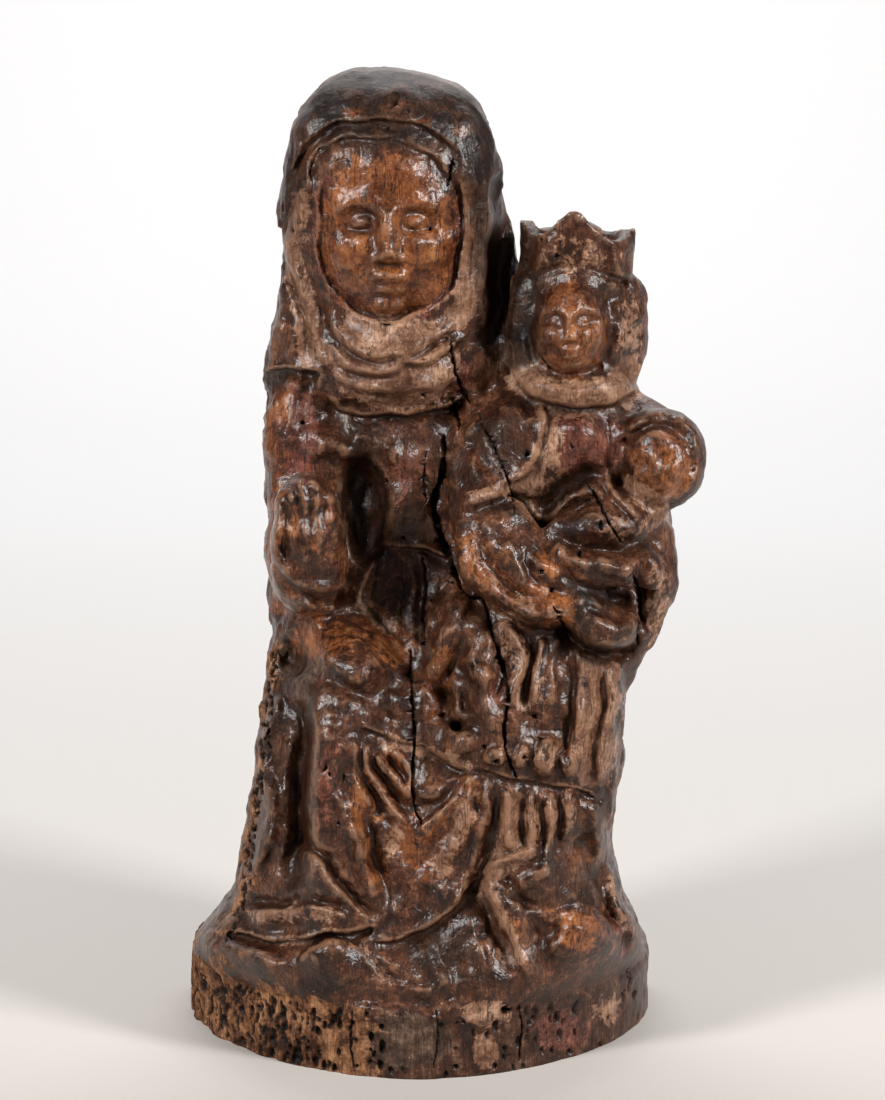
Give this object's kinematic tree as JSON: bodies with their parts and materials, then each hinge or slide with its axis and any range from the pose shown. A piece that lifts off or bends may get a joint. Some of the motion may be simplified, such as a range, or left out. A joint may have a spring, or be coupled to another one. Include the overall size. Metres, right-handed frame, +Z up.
{
  "type": "saint anne statue",
  "caption": "Carved wooden devotional group: a veiled seated woman with a crowned woman and child on her knee, on a low plinth with a bowed front",
  "frame": {"origin": "middle of the underside's bounding rectangle: the middle of the row's width and depth, at the plane it rests on", "axes": "+Z up, the figures face -Y, +X is the viewer's right when facing them"},
  "size_m": [0.2248, 0.151, 0.4203],
  "materials": {
    "patinated_wood": "old dark paint and waxed varnish over carved hardwood, worn through to bare wood on the plinth"
  },
  "bodies": {
    "root": {"carved_group": "patinated_wood"}
  },
  "joints": []
}
